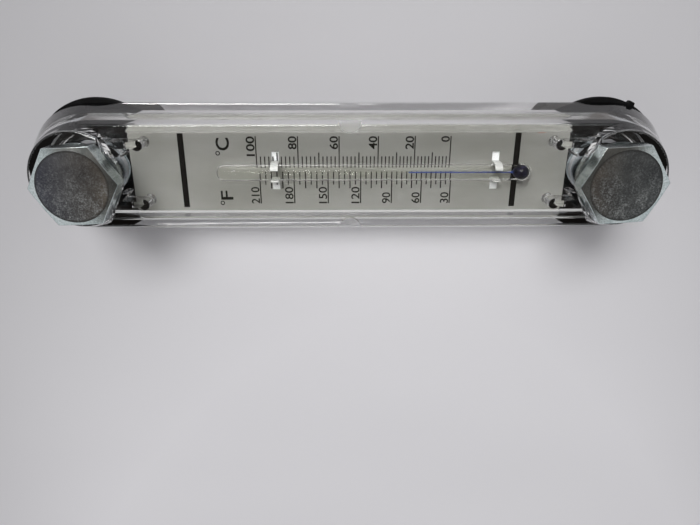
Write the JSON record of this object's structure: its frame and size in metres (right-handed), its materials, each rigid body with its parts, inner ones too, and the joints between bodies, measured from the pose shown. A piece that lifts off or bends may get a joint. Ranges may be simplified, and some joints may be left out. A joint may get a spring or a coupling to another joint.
{
  "type": "tank level gauge",
  "caption": "Obround clear sight gauge with a printed scale plate and stem thermometer, fixed to a tank wall by a hollow hex screw at each end.",
  "frame": {"origin": "on the tank wall plane (rear faces of the two gaskets), midway between the two screws", "axes": "+Z out of the tank wall towards the screw heads, +X along the gauge from the upper screw to the lower (bulb end) screw, +Y to the side by the right-hand rule"},
  "size_m": [0.164, 0.0344, 0.0347],
  "materials": {
    "clear_plastic": "polished clear plastic",
    "lacquered_aluminium": "satin lacquer with black print",
    "tube_glass": "clear glass",
    "blue_spirit": "dark blue liquid",
    "zinc_plated_steel": "zinc plated, stained crowns",
    "black_rubber": "matt moulded rubber"
  },
  "bodies": {
    "root": {"housing": "clear_plastic", "rear_cover": "clear_plastic", "scale_plate": "lacquered_aluminium", "thermometer_tube": "tube_glass", "thermometer_spirit": "blue_spirit", "upper_screw": "zinc_plated_steel", "lower_screw": "zinc_plated_steel", "upper_washer": "zinc_plated_steel", "lower_washer": "zinc_plated_steel", "upper_head_seal": "black_rubber", "lower_head_seal": "black_rubber", "upper_gasket": "black_rubber", "lower_gasket": "black_rubber"}
  },
  "joints": []
}
